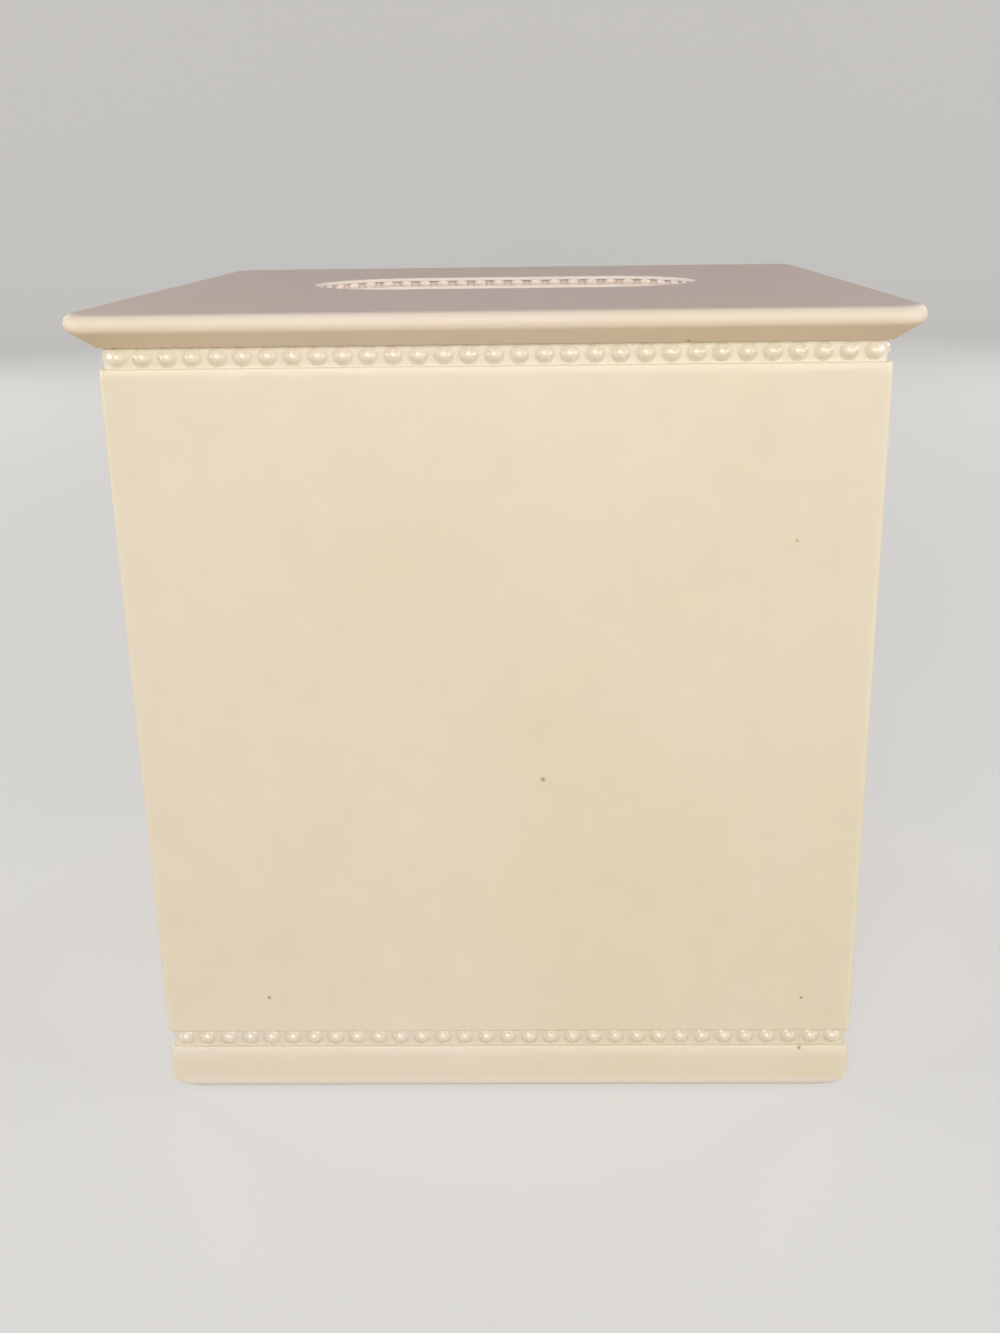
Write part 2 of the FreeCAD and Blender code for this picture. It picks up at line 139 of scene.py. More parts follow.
@dataclass(frozen=True)
class Outline:
    """A level rounded rectangle that a skin runs through, in millimetres."""

    half_x: float
    half_y: float
    radius: float
    level: float

    def points(self) -> list[Vector]:
        """Walk the outline anticlockwise, with the same count of points for every outline.

        Returns:
            The points, in metres.
        """
        radius = min(max(self.radius, SHARP_RADIUS), self.half_x, self.half_y)
        arcs = []
        for quarter, (side_x, side_y) in enumerate(((1, 1), (-1, 1), (-1, -1), (1, -1))):
            centre = Vector((side_x * (self.half_x - radius), side_y * (self.half_y - radius), self.level))
            angles = [math.pi / 2 * (quarter + step / CORNER_STEPS) for step in range(CORNER_STEPS + 1)]
            arcs.append([centre + radius * Vector((math.cos(a), math.sin(a), 0)) for a in angles])
        walk = []
        for arc, following in zip(arcs, arcs[1:] + arcs[:1]):
            walk += arc
            walk += [arc[-1].lerp(following[0], share) for share in SIDE_SHARES]
        return [point * MM for point in walk]


def square(half: float, radius: float, level: float) -> Outline:
    """Make a square outline from its half width, corner radius and level."""
    return Outline(half, half, radius, level)


def rounded(
    half: float, level: float, depth: float, rise: float, corner: float, start: float, end: float,
) -> list[Outline]:
    """Run square outlines along a round or oval turn of a moulding's profile.

    Args:
        half: half width at the turn's centre.
        level: level of the turn's centre.
        depth: the turn's radius across.
        rise: its radius upwards.
        corner: corner radius in plan at the turn's centre.
        start: where the turn starts, in degrees above straight outwards.
        end: where it ends.

    Returns:
        The outlines, from start to end.
    """
    outlines = []
    for step in range(ROUND_STEPS + 1):
        angle = math.radians(start + (end - start) * step / ROUND_STEPS)
        reach = depth * math.cos(angle)
        outlines.append(square(half + reach, corner + reach, level + rise * math.sin(angle)))
    return outlines


def eased(half: float, top: float, corner: float, inset: float, drop: float, edge: float) -> list[Outline]:
    """Run square outlines up the end of a face that leans in gently and turns over at a small round edge.

    Args:
        half: half width of the face.
        top: level of the ledge above it.
        corner: corner radius of the face in plan.
        inset: how far the face leans in.
        drop: height over which it leans.
        edge: radius of the edge.

    Returns:
        The outlines, from the face to the ledge.
    """
    lean = math.atan2(2 * inset, drop)
    across = edge * math.cos(lean)
    foot = top - edge + edge * math.sin(lean) - drop
    outlines = []
    for step in range(ROUND_STEPS + 1):
        share = step / ROUND_STEPS
        outlines.append(square(half - inset * share ** 2, corner - inset * share ** 2, foot + drop * share))
    over = rounded(half - inset - across, top - edge, edge, edge, corner - inset - across,
                   math.degrees(lean), 90)
    return outlines + over[1:]


def link(name: str, mesh: bpy.types.Mesh) -> bpy.types.Object:
    """Put a mesh into the scene as an object at the origin.

    Args:
        name: the object's name.
        mesh: its mesh.

    Returns:
        The object.
    """
    piece = bpy.data.objects.new(name, mesh)
    bpy.context.scene.collection.objects.link(piece)
    return piece


def skin(name: str, outlines: list[Outline]) -> bpy.types.Object:
    """Join a run of outlines, the last one to the first, into a closed skin.

    Args:
        name: the object's name.
        outlines: the outlines, in order round the profile.

    Returns:
        The object, smooth apart from its sharp edges.
    """
    shell = bmesh.new()
    rings = [[shell.verts.new(point) for point in outline.points()] for outline in outlines]
    for ring, following in zip(rings, rings[1:] + rings[:1]):
        for at in range(len(ring)):
            after = (at + 1) % len(ring)
            shell.faces.new((ring[at], ring[after], following[after], following[at]))
    bmesh.ops.remove_doubles(shell, verts=shell.verts, dist=MERGE_DISTANCE)
    bmesh.ops.recalc_face_normals(shell, faces=shell.faces)
    mesh = bpy.data.meshes.new(name)
    shell.to_mesh(mesh)
    shell.free()
    mesh.shade_smooth()
    mesh.set_sharp_from_angle(angle=math.radians(SHARP_EDGE_DEGREES))
    return link(name, mesh)


def seat(piece: bpy.types.Object, body: str, node: str) -> None:
    """Ride a finished piece on its body in place of its solid, and report it.

    Args:
        piece: the finished object.
        body: the body that it rides on.
        node: the solid that it replaces.
    """
    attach(piece, body)
    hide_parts(node)
    LOG.info("%s rides on %s with %d faces", piece.name, body, len(piece.data.polygons))


@dataclass(frozen=True)
class Speck:
    """A small dark pit in the casting, by its place and radius in millimetres."""

    x: float
    y: float
    z: float
    radius: float


# The pits that the front shows.
WALL_SPECKS = (
    Speck(7.7, -69.0, 68.6, 0.75), Speck(-47.6, -69.0, 21.5, 0.6), Speck(58.7, -69.0, 21.1, 0.55),
    Speck(53.6, -69.0, 114.6, 0.4),
)
PLINTH_SPECKS = (Speck(58.9, -68.6, 9.3, 0.65),)
LID_SPECKS = (Speck(33.4, -69.3, 149.9, 0.6),)


@dataclass(frozen=True)
class SlotTint:
    """A colour whose share changes with the way out from the slot's wall, in millimetres."""

    slot: Outline
    colour: str
    near: float
    far: float
    near_share: float
    far_share: float

    def share(self, tree: bpy.types.NodeTree, place: bpy.types.NodeSocket) -> bpy.types.NodeSocket:
        """Work out the colour's share from the way to the line between the centres of the slot's ends.

        Args:
            tree: the finish's tree.
            place: the place on the piece.

        Returns:
            The share.
        """
        across = add_node(tree, "ShaderNodeSeparateXYZ", inputs={0: place}).outputs
        along = add_node(tree, "ShaderNodeMath", {"operation": "ABSOLUTE"}, {0: across[0]})
        beyond = add_node(tree, "ShaderNodeMath", {"operation": "SUBTRACT"}, {
            0: along.outputs[0], 1: (self.slot.half_x - self.slot.radius) * MM,
        })
        past = add_node(tree, "ShaderNodeMath", {"operation": "MAXIMUM"}, {0: beyond.outputs[0], 1: 0.0})
        spoke = add_node(tree, "ShaderNodeCombineXYZ", inputs={0: past.outputs[0], 1: across[1]})
        way = add_node(tree, "ShaderNodeVectorMath", {"operation": "LENGTH"}, {0: spoke.outputs[0]})
        return add_node(tree, "ShaderNodeMapRange", {"interpolation_type": "SMOOTHSTEP"}, {
            0: way.outputs["Value"], 1: (self.slot.radius + self.near) * MM,
            2: (self.slot.radius + self.far) * MM, 3: self.near_share, 4: self.far_share,
        }).outputs[0]


@dataclass(frozen=True)
class Pattern:
    """A noise in the resin: its patches' size in millimetres, its detail and the span of it that counts."""

    size: float
    detail: float
    low: float = 0.0
    high: float = 1.0


# Trim is too small for the broad mottle of the walls.
FINE_MOTTLE = Pattern(3.0, 4, 0.3, 0.7)


@dataclass(frozen=True)
class CastResin:
    """Polyester resin cast in a mould and left with the mould's satin skin: depths in millimetres."""

    # Filled resin is opaque but not dense: its edges glow a little, its colour drifts in soft clouds and
    # its skin keeps a fine orange peel and a few open air bubbles.
    name: str
    ivory: str = "#E7DFCB"
    cream: str = "#E4DCC3"
    blush: str = "#E9DDD0"
    pit: str = "#A58F6E"
    roughness: float = 0.42
    roughness_drift: float = 0.1
    ior: float = 1.5
    glow_weight: float = 0.1
    glow_depth: float = 1.2
    # Red light goes deepest into the resin and blue the least.
    glow_shares: tuple[float, float, float] = (1.0, 0.7, 0.4)
    clouds: Pattern = Pattern(55.0, 3, 0.35, 0.65)
    warmth: Pattern = Pattern(80.0, 2, 0.4, 0.7)
    warmth_share: float = 0.7
    mottle: Pattern = Pattern(7.0, 4, 0.3, 0.7)
    mottle_share: float = 0.012
    # The peel of a mould this smooth is under half a millimetre; it is drawn coarser so that it shows.
    peel: Pattern = Pattern(1.6, 2)
    peel_depth: float = 0.012
    swell: Pattern = Pattern(28.0, 1)
    swell_depth: float = 0.03
    specks: tuple[Speck, ...] = ()
    # Waxed beads catch a bright spot each.
    wax: float = 0.0
    wax_roughness: float = 0.25
    # What faces up is tinted darker and mauve: painted shade and painted reflection.
    top_shade: str = "#CBA9AB"
    top_shade_share: float = 0.0
    top_shade_from_share: float = 0.75
    top_shade_full_share: float = 0.98
    # The colour turns paler towards the foot.
    lightened: str = "#F0EEE8"
    lightened_share: float = 0.0
    lightened_from: float = 3.2
    lightened_full: float = 1.2
    # A tint set by the way out from the slot: painted light on the lid's lip, dust and painted shade in the
    # ring's groove.
    slot_tint: SlotTint | None = None

    def material(self) -> bpy.types.Material:
        """Mix the resin.

        Returns:
            The material.
        """
        material = bpy.data.materials.new(self.name)
        material.use_nodes = True
        tree = material.node_tree
        tree.nodes.clear()
        where = add_node(tree, "ShaderNodeTexCoord").outputs
        clouds, warmth, mottle, peel, swell = self.noises(tree, where["Object"])
        fresh = self.cast_colour(tree, clouds, warmth, mottle)
        # Painted shade and painted light are laid on the cast colour here, along with the pits.
        worn = self.colour_with_painted_light_and_pits(tree, fresh, where["Object"], where["Normal"])
        rough = add_node(tree, "ShaderNodeMapRange", inputs={
            0: mottle, 1: self.mottle.low, 2: self.mottle.high,
            3: self.roughness - self.roughness_drift / 2, 4: self.roughness + self.roughness_drift / 2,
        })
        swollen = add_node(tree, "ShaderNodeBump", inputs={
            "Strength": 1.0, "Distance": self.swell_depth * MM, "Height": swell,
        })
        peeled = add_node(tree, "ShaderNodeBump", inputs={
            "Strength": 1.0, "Distance": self.peel_depth * MM, "Height": peel, "Normal": swollen.outputs[0],
        })
        body = add_node(tree, "ShaderNodeBsdfPrincipled", inputs={
            "Base Color": worn, "Roughness": rough.outputs[0], "IOR": self.ior, "Normal": peeled.outputs[0],
            "Subsurface Weight": self.glow_weight, "Subsurface Scale": self.glow_depth * MM,
            "Subsurface Radius": self.glow_shares, "Coat Weight": self.wax,
            "Coat Roughness": self.wax_roughness,
        })
        add_node(tree, "ShaderNodeOutputMaterial", inputs={"Surface": body.outputs[0]})
        return material

    def noises(self, tree: bpy.types.NodeTree, place: bpy.types.NodeSocket) -> list[bpy.types.NodeSocket]:
        """Add the resin's patterns, each moved clear of the others.

        Args:
            tree: the material's tree.
            place: the place on the piece.

        Returns:
            The clouds, warmth, mottle, peel and swell.
        """
        values = []
        for shift, pattern in enumerate((self.clouds, self.warmth, self.mottle, self.peel, self.swell)):
            moved = add_node(tree, "ShaderNodeMapping", inputs={
                "Vector": place, "Location": (shift, shift, 0),
            })
            noise = add_node(tree, "ShaderNodeTexNoise", inputs={
                "Vector": moved.outputs[0], "Scale": METRE / pattern.size, "Detail": pattern.detail,
            })
            values.append(noise.outputs["Fac"])
        return values

    def cast_colour(
        self, tree: bpy.types.NodeTree, clouds: bpy.types.NodeSocket, warmth: bpy.types.NodeSocket,
        mottle: bpy.types.NodeSocket,
    ) -> bpy.types.NodeSocket:
        """Mix the colour that the resin was cast in.

        Args:
            tree: the material's tree.
            clouds: where it is creamy.
            warmth: where it has a blush.
            mottle: where it is lighter or darker.

        Returns:
            The colour.
        """
        creamy = add_node(tree, "ShaderNodeMapRange", inputs={
            0: clouds, 1: self.clouds.low, 2: self.clouds.high, 3: 0.0, 4: 1.0,
        })
        clouded = add_node(tree, "ShaderNodeMix", {"data_type": "RGBA"}, {
            0: creamy.outputs[0], 6: linear(self.ivory), 7: linear(self.cream),
        })
        warm = add_node(tree, "ShaderNodeMapRange", inputs={
            0: warmth, 1: self.warmth.low, 2: self.warmth.high, 3: 0.0, 4: self.warmth_share,
        })
        blushed = add_node(tree, "ShaderNodeMix", {"data_type": "RGBA"}, {
            0: warm.outputs[0], 6: clouded.outputs[2], 7: linear(self.blush),
        })
        shade = add_node(tree, "ShaderNodeMapRange", inputs={
            0: mottle, 1: self.mottle.low, 2: self.mottle.high,
            3: 1 - self.mottle_share, 4: 1 + self.mottle_share,
        })
        return add_node(tree, "ShaderNodeVectorMath", {"operation": "SCALE"}, {
            0: blushed.outputs[2], 3: shade.outputs[0],
        }).outputs[0]

    def colour_with_painted_light_and_pits(
        self, tree: bpy.types.NodeTree, colour: bpy.types.NodeSocket, place: bpy.types.NodeSocket,
        facing: bpy.types.NodeSocket,
    ) -> bpy.types.NodeSocket:
        """Lay painted shade on what faces up, pale the foot, tint round the slot and pit the colour.

        Args:
            tree: the material's tree.
            colour: the colour as cast.
            place: the place on the piece.
            facing: the way that the surface faces.

        Returns:
            The colour with its painted light and shade, tints and pits.
        """
        layers = []
        # Painted shade: faces that face up are tinted darker and mauve.
        if self.top_shade_share:
            upward = add_node(tree, "ShaderNodeSeparateXYZ", inputs={0: facing})
            top_shade_mask = add_node(tree, "ShaderNodeMapRange", inputs={
                0: upward.outputs[2], 1: self.top_shade_from_share, 2: self.top_shade_full_share,
                3: 0.0, 4: self.top_shade_share,
            })
            layers.append((top_shade_mask.outputs[0], self.top_shade))
        # The colour turns paler towards the foot.
        if self.lightened_share:
            height = add_node(tree, "ShaderNodeSeparateXYZ", inputs={0: place})
            paled = add_node(tree, "ShaderNodeMapRange", {"interpolation_type": "SMOOTHSTEP"}, {
                0: height.outputs[2], 1: self.lightened_full * MM, 2: self.lightened_from * MM,
                3: self.lightened_share, 4: 0.0,
            })
            layers.append((paled.outputs[0], self.lightened))
        if self.slot_tint:
            layers.append((self.slot_tint.share(tree, place), self.slot_tint.colour))
        for speck in self.specks:
            away = add_node(tree, "ShaderNodeVectorMath", {"operation": "DISTANCE"}, {
                0: place, 1: (speck.x * MM, speck.y * MM, speck.z * MM),
            })
            pitted = add_node(tree, "ShaderNodeMapRange", {"interpolation_type": "SMOOTHSTEP"}, {
                0: away.outputs["Value"], 1: 0.0, 2: speck.radius * MM, 3: 1.0, 4: 0.0,
            })
            layers.append((pitted.outputs[0], self.pit))
        for share, layer in layers:
            colour = add_node(tree, "ShaderNodeMix", {"data_type": "RGBA"}, {
                0: share, 6: colour, 7: linear(layer),
            }).outputs[2]
        return colour


@dataclass(frozen=True)
class Sleeve:
    """The four walls, with the neck that carries the upper beads and the tongue behind the lower ones."""

    half: float
    foot: float
    top: float
    face_foot: float
    face_top: float
    corner: float = 1.5
    top_inset: float = 0.15
    top_drop: float = 1.5
    top_edge: float = 0.3
    foot_round: float = 0.5
    neck_inset: float = 2.4
    bore_inset: float = 4.5
    bore_corner: float = 2.0

    @classmethod
    def from_frame(cls) -> "Sleeve":
        """Take the sleeve's sizes from its solid and from the strips above and below its face.

        Returns:
            The sleeve.
        """
        low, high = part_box("sleeve")
        face_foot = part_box(strip_node(Row.LOWER, Side.FRONT))[1].z
        face_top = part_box(strip_node(Row.UPPER, Side.FRONT))[0].z
        return cls(high.x * METRE, low.z * METRE, high.z * METRE, face_foot * METRE, face_top * METRE)

    def build(self, finish: bpy.types.Material) -> bpy.types.Object:
        """Build and dress the walls.

        Args:
            finish: the resin.

        Returns:
            The finished piece.
        """
        neck = self.half - self.neck_inset
        bore = self.half - self.bore_inset
        foot_level = self.face_foot + self.foot_round
        foot_turn = rounded(self.half - self.foot_round, foot_level, self.foot_round, self.foot_round,
                            self.corner - self.foot_round, -90, 0)
        top_turn = eased(self.half, self.face_top, self.corner, self.top_inset, self.top_drop, self.top_edge)
        face = [square(self.half, self.corner, foot_level + FLAT_SUPPORT),
                square(self.half, self.corner, top_turn[0].level - FLAT_SUPPORT)]
        outside = [square(neck, 0, self.foot), square(neck, 0, self.face_foot), *foot_turn, *face, *top_turn,
                   square(neck, 0, self.face_top), square(neck, 0, self.top)]
        inside = [square(bore, self.bore_corner, self.top), square(bore, self.bore_corner, self.foot)]
        piece = skin("sleeve_walls", outside + inside)
        piece.data.materials.append(finish)
        return piece


@dataclass(frozen=True)
class Plinth:
    """The base ring, with a rounded shoulder, a rounder bottom edge and a socket for the sleeve."""

    half: float
    top: float
    socket_floor: float
    corner: float = 1.5
    shoulder_inset: float = 0.4
    shoulder_drop: float = 2.4
    shoulder_edge: float = 0.4
    bottom_round: float = 2.2
    # The corners are rubbed rounder towards the foot.
    foot_corner: float = 4.2
    socket_inset: float = 2.4
    wall: float = 9.0

    @classmethod
    def from_frame(cls) -> "Plinth":
        """Take the plinth's sizes from its solid and from the sleeve that stands in it."""
        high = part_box("plinth")[1]
        return cls(high.x * METRE, high.z * METRE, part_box("sleeve")[0].z * METRE)

    def build(self, finish: bpy.types.Material) -> bpy.types.Object:
        """Build and dress the base ring.

        Args:
            finish: the resin.

        Returns:
            The finished piece.
        """
        socket = self.half - self.socket_inset
        opening = self.half - self.wall
        turn = rounded(self.half - self.bottom_round, self.bottom_round, self.bottom_round,
                       self.bottom_round, self.corner - self.bottom_round, -90, 0)
        rub = self.foot_corner - self.corner + self.bottom_round
        bottom_turn = []
        for line in turn:
            worn = rub * (1 - line.level / self.bottom_round)
            bottom_turn.append(square(line.half_x, line.radius + worn, line.level))
        shoulder = eased(self.half, self.top, self.corner, self.shoulder_inset, self.shoulder_drop,
                         self.shoulder_edge)
        face = [square(self.half, self.corner, self.bottom_round + FLAT_SUPPORT),
                square(self.half, self.corner, shoulder[0].level - FLAT_SUPPORT)]
        piece = skin("plinth_moulding", [
            square(opening, 0, 0), *bottom_turn, *face, *shoulder, square(socket, 0, self.top),
            square(socket, 0, self.socket_floor), square(opening, 0, self.socket_floor),
        ])
        piece.data.materials.append(finish)
        return piece


@dataclass(frozen=True)
class Lid:
    """The lift-off lid: a cornice round a plate with a low panel, a tissue slot and a locating rim."""

    half: float
    rim_foot: float
    top: float
    seat_level: float
    slope_half: float
    plate_foot: float
    ring_top: float
    slope_corner: float = 1.5
    nose: float = 1.8
    panel_rise: float = 0.25
    panel_inset: float = 12.5
    panel_corner: float = 6.0
    panel_fall: float = 4.5
    rim_half: float = 64.2
    rim_corner: float = 1.7
    hollow_half: float = 61.7
    slot_half_length: float = 41.0
    slot_half_width: float = 20.0
    slot_round: float = 0.25
    ring_seat: float = 2.3
    # The slot's lip is painted as pale as the ring under it: painted light.
    lip_light_colour: str = "#F5E6DA"
    lip_light_full: float = 0.15
    lip_light_end: float = 0.35

    @classmethod
    def from_frame(cls) -> "Lid":
        """Take the lid's sizes from its solid, the sleeve that it stands on and the ring in its slot.

        Returns:
            The lid.
        """
        low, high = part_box("lid")
        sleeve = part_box("sleeve")[1]
        ring_low, ring_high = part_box("slot_bead_ring")
        return cls(high.x * METRE, low.z * METRE, high.z * METRE, sleeve.z * METRE, sleeve.x * METRE,
                   ring_low.z * METRE, ring_high.z * METRE)

    def slot_outline(self, margin: float, level: float) -> Outline:
        """Draw the slot, larger by a margin, at a level."""
        half_width = self.slot_half_width + margin
        return Outline(self.slot_half_length + margin, half_width, half_width, level)

    def rub(self) -> SlotTint:
        """Paint light on the slot's lip, as pale as the ring under it."""
        return SlotTint(self.slot_outline(0, self.top), self.lip_light_colour, self.lip_light_full, self.lip_light_end,
                        1.0, 0.0)

    def cornice(self) -> list[Outline]:
        """Draw the sloping underside and the full-round nose, from the seat up.

        Returns:
            The outlines, from the slope's foot to the nose's top.
        """
        border = self.top - self.panel_rise
        nose_half = self.half - self.nose
        nose_level = border - self.nose
        run = nose_half - self.slope_half
        climb = nose_level - self.seat_level
        slope = math.degrees(math.atan2(climb, run) - math.asin(self.nose / math.hypot(run, climb)))
        nose_corner = self.slope_corner + run
        return [square(self.slope_half, self.slope_corner, self.seat_level),
                *rounded(nose_half, nose_level, self.nose, self.nose, nose_corner, slope - 90, 0),
                *rounded(nose_half, nose_level, self.nose, self.nose, nose_corner, 0, 90)[1:]]

    def panel(self) -> list[Outline]:
        """Draw the border's flat and the gentle fall of the low panel's edge, from the nose inwards.

        Returns:
            The outlines, from the border's inner edge to the panel's top.
        """
        border = self.top - self.panel_rise
        half = self.half - self.panel_inset
        return [square(self.half - self.nose - FLAT_SUPPORT, self.slope_corner + self.nose, border),
                square(half + self.panel_fall, self.panel_corner, border),
                square(half, self.panel_corner, self.top),
                square(half - FLAT_SUPPORT, self.panel_corner, self.top)]

    def slot_edge(self) -> list[Outline]:
        """Draw the slot's softened top edge and its lip, from the panel down.

        Returns:
            The outlines, from the panel's inner edge to the ring's seat.
        """
        outlines = [self.slot_outline(self.slot_round + FLAT_SUPPORT, self.top)]
        for step in range(ROUND_STEPS + 1):
            angle = math.pi / 2 * step / ROUND_STEPS
            outlines.append(self.slot_outline(self.slot_round * (1 - math.sin(angle)),
                                              self.top - self.slot_round * (1 - math.cos(angle))))
        return [*outlines, self.slot_outline(0, self.ring_top),
                self.slot_outline(self.ring_seat, self.ring_top),
                self.slot_outline(self.ring_seat, self.plate_foot)]

    def build(self, finish: bpy.types.Material) -> bpy.types.Object:
        """Build and dress the lid.

        Args:
            finish: the resin.

        Returns:
            The finished piece.
        """
        underside = [
            square(self.hollow_half, 0, self.plate_foot), square(self.hollow_half, 0, self.rim_foot),
            square(self.rim_half, self.rim_corner, self.rim_foot),
            square(self.rim_half, self.rim_corner, self.seat_level),
        ]
        piece = skin("lid_moulding", self.cornice() + self.panel() + self.slot_edge() + underside)
        piece.data.materials.append(finish)
        return piece


@dataclass(frozen=True)
class BeadTrim:
    """A run of cast half-round beads along a line or round the slot, set on a backing."""

    path: BeadPath
    radius: float
    rise: float
    count: int
    seed: int
    # Each bead is a low dome that runs out into the backing in a soft fillet, its rim just under the face.
    # Its height falls as (1 - share ** fullness) ** 2 of the rise, with share the way out from the tip.
    root: float = 0.02
    fullness: float = 2.7
    # How many times longer than high a bead is, along its path.
    stretch: float = 1.0
    segments: int = 12
    rings: int = 6
    # Casting and hand finishing leave the beads a little uneven.
    size_spread: float = 0.03
    fillet_steps: int = 24

    def tree(self) -> bpy.types.NodeTree:
        """Build the node tree that sets the beads along their path.

        Returns:
            The tree, with the path, sizes and finish as named inputs.
        """
        tree = bpy.data.node_groups.new(f"beads along {self.path.value}", "GeometryNodeTree")
        tree.is_modifier = True
        for name, kind in (
            ("Backing", "Geometry"), ("Start", "Vector"), ("End", "Vector"), ("Slot length", "Float"),
            ("Slot width", "Float"), ("Count", "Int"), ("Bead radius", "Float"), ("Bead rise", "Float"),
            ("Fullness", "Float"), ("Root", "Float"), ("Stretch", "Float"), ("Size spread", "Float"),
            ("Seed", "Int"), ("Finish", "Material"),
        ):
            tree.interface.new_socket(name=name, in_out="INPUT", socket_type=f"NodeSocket{kind}")
        tree.interface.new_socket(name="Trim", in_out="OUTPUT", socket_type="NodeSocketGeometry")
        given = add_node(tree, "NodeGroupInput").outputs
        places = add_node(tree, "GeometryNodeCurveToPoints", {"mode": "COUNT"}, {
            "Curve": self.lay_path(tree, given), "Count": given["Count"],
        })
        along = add_node(tree, "FunctionNodeAlignRotationToVector", {"axis": "X"}, {
            "Vector": places.outputs["Tangent"],
        })
        outward = add_node(tree, "ShaderNodeVectorMath", {"operation": "CROSS_PRODUCT"}, {
            0: places.outputs["Tangent"], 1: tuple(UP),
        })
        turn = add_node(tree, "FunctionNodeAlignRotationToVector", {"axis": "Z", "pivot_axis": "X"}, {
            "Rotation": along.outputs[0], "Vector": outward.outputs[0],
        })
        smallest = add_node(tree, "ShaderNodeMath", {"operation": "SUBTRACT"}, {
            0: 1.0, 1: given["Size spread"],
        })
        size = add_node(tree, "FunctionNodeRandomValue", {"data_type": "FLOAT"}, {
            2: smallest.outputs[0], 3: 1.0, "Seed": given["Seed"],
        })
        length = add_node(tree, "ShaderNodeMath", {"operation": "MULTIPLY"}, {
            0: size.outputs[1], 1: given["Stretch"],
        })
        scale = add_node(tree, "ShaderNodeCombineXYZ", inputs={
            0: length.outputs[0], 1: size.outputs[1], 2: size.outputs[1],
        })
        beads = add_node(tree, "GeometryNodeInstanceOnPoints", inputs={
            "Points": places.outputs["Points"], "Instance": self.mould_bead(tree, given),
            "Rotation": turn.outputs[0], "Scale": scale.outputs[0],
        })
        both = add_node(tree, "GeometryNodeJoinGeometry", inputs={0: [given["Backing"], beads.outputs[0]]})
        solid = add_node(tree, "GeometryNodeRealizeInstances", inputs={"Geometry": both.outputs[0]})
        dressed = add_node(tree, "GeometryNodeSetMaterial", inputs={
            "Geometry": solid.outputs[0], "Material": given["Finish"],
        })
        add_node(tree, "NodeGroupOutput", inputs={0: dressed.outputs[0]})
        return tree

    def lay_path(
        self, tree: bpy.types.NodeTree, given: bpy.types.bpy_prop_collection,
    ) -> bpy.types.NodeSocket:
        """Draw the line or the obround that the beads follow.

        Args:
            tree: the bead tree.
            given: the tree's inputs.

        Returns:
            The curve.
        """
        if self.path is BeadPath.LINE:
            return add_node(tree, "GeometryNodeCurvePrimitiveLine", inputs={
                "Start": given["Start"], "End": given["End"],
            }).outputs[0]
        oblong = add_node(tree, "GeometryNodeCurvePrimitiveQuadrilateral", inputs={
            "Width": given["Slot length"], "Height": given["Slot width"],
        })
        end_radius = add_node(tree, "ShaderNodeMath", {"operation": "DIVIDE"}, {
            0: given["Slot width"], 1: 2.0,
        })
        obround = add_node(tree, "GeometryNodeFilletCurve", {"mode": "POLY"}, {
            "Curve": oblong.outputs[0], "Count": self.fillet_steps, "Radius": end_radius.outputs[0],
            "Limit Radius": True,
        })
        raised = add_node(tree, "GeometryNodeTransform", inputs={
            "Geometry": obround.outputs[0], "Translation": given["Start"],
        })
        return add_node(tree, "GeometryNodeReverseCurve", inputs={"Curve": raised.outputs[0]}).outputs[0]

    def mould_bead(
        self, tree: bpy.types.NodeTree, given: bpy.types.bpy_prop_collection,
    ) -> bpy.types.NodeSocket:
        """Bend a cone into one bead.

        Args:
            tree: the bead tree.
            given: the tree's inputs.

        Returns:
            The bead, with its tip upwards.
        """
        cone = add_node(tree, "GeometryNodeMeshCone", {"fill_type": "NONE"}, {
            "Vertices": self.segments, "Side Segments": self.rings, "Radius Top": 0.0,
            "Radius Bottom": given["Bead radius"],
        })
        spot = add_node(tree, "GeometryNodeInputPosition")
        plan = add_node(tree, "ShaderNodeVectorMath", {"operation": "MULTIPLY"}, {
            0: spot.outputs[0], 1: (1.0, 1.0, 0.0),
        })
        reach = add_node(tree, "ShaderNodeVectorMath", {"operation": "LENGTH"}, {0: plan.outputs[0]})
        share = add_node(tree, "ShaderNodeMath", {"operation": "DIVIDE", "use_clamp": True}, {
            0: reach.outputs["Value"], 1: given["Bead radius"],
        })
        bulge = add_node(tree, "ShaderNodeMath", {"operation": "POWER"}, {
            0: share.outputs[0], 1: given["Fullness"],
        })
        fall = add_node(tree, "ShaderNodeMath", {"operation": "SUBTRACT"}, {0: 1.0, 1: bulge.outputs[0]})
        bell = add_node(tree, "ShaderNodeMath", {"operation": "POWER"}, {0: fall.outputs[0], 1: 2.0})
        level = add_node(tree, "ShaderNodeMath", {"operation": "MULTIPLY_ADD"}, {
            0: bell.outputs[0], 1: given["Bead rise"], 2: given["Root"],
        })
        lifted = add_node(tree, "ShaderNodeCombineXYZ", inputs={2: level.outputs[0]})
        domed = add_node(tree, "ShaderNodeVectorMath", {"operation": "ADD"}, {
            0: plan.outputs[0], 1: lifted.outputs[0],
        })
        bead = add_node(tree, "GeometryNodeSetPosition", inputs={
            "Geometry": cone.outputs["Mesh"], "Position": domed.outputs[0],
        })
        return add_node(tree, "GeometryNodeSetShadeSmooth", inputs={
            "Geometry": bead.outputs[0], "Shade Smooth": True,
        }).outputs[0]

